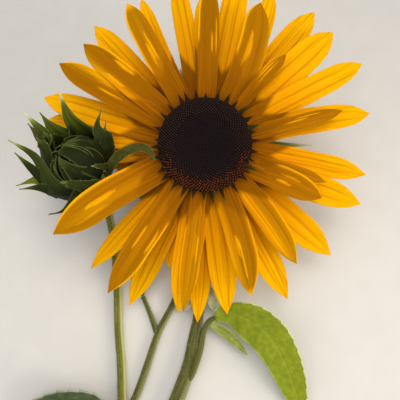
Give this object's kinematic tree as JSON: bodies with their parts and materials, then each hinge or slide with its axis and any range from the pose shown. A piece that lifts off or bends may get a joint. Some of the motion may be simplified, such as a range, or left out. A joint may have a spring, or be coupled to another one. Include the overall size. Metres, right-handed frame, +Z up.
{
  "type": "cut flowering top of a sunflower plant",
  "caption": "Cut flowering top of a sunflower plant lying on its stems, with an open head of yellow rays, a closed bud and leaves.",
  "frame": {"origin": "on the ground, under the middle of the box round the whole piece", "axes": "+Z up from the ground it lies on; +Y along the stems, from the cut to the flower head; the face of the head looks up and towards -Y"},
  "size_m": [0.2828, 0.403, 0.1235],
  "materials": {
    "stem": "matte, with short pale hairs",
    "disc": "matte, rough with florets",
    "ray_bright": "soft satin",
    "ray_amber": "soft satin",
    "bract": "matte, hairy",
    "bud": "matte",
    "leaf": "matte",
    "leaf_pale": "matte"
  },
  "bodies": {
    "root": {"main_stem": "stem", "bud_stem": "stem", "side_stem": "stem", "receptacle": "stem", "head_bracts": "bract", "disc": "disc", "rays_front": "ray_amber", "rays_middle": "ray_bright", "rays_back": "ray_bright", "bud_body": "bud", "bud_closed_bracts": "bract", "bud_open_bracts": "bract", "curled_leaf": "bract", "right_leaf": "leaf", "small_leaf": "leaf", "low_left_leaf": "leaf", "back_left_leaf": "leaf", "back_right_leaf": "leaf", "crown_leaf_right": "leaf_pale", "crown_leaf_left": "leaf_pale", "side_leaf_one": "leaf", "side_leaf_two": "leaf"}
  },
  "joints": []
}
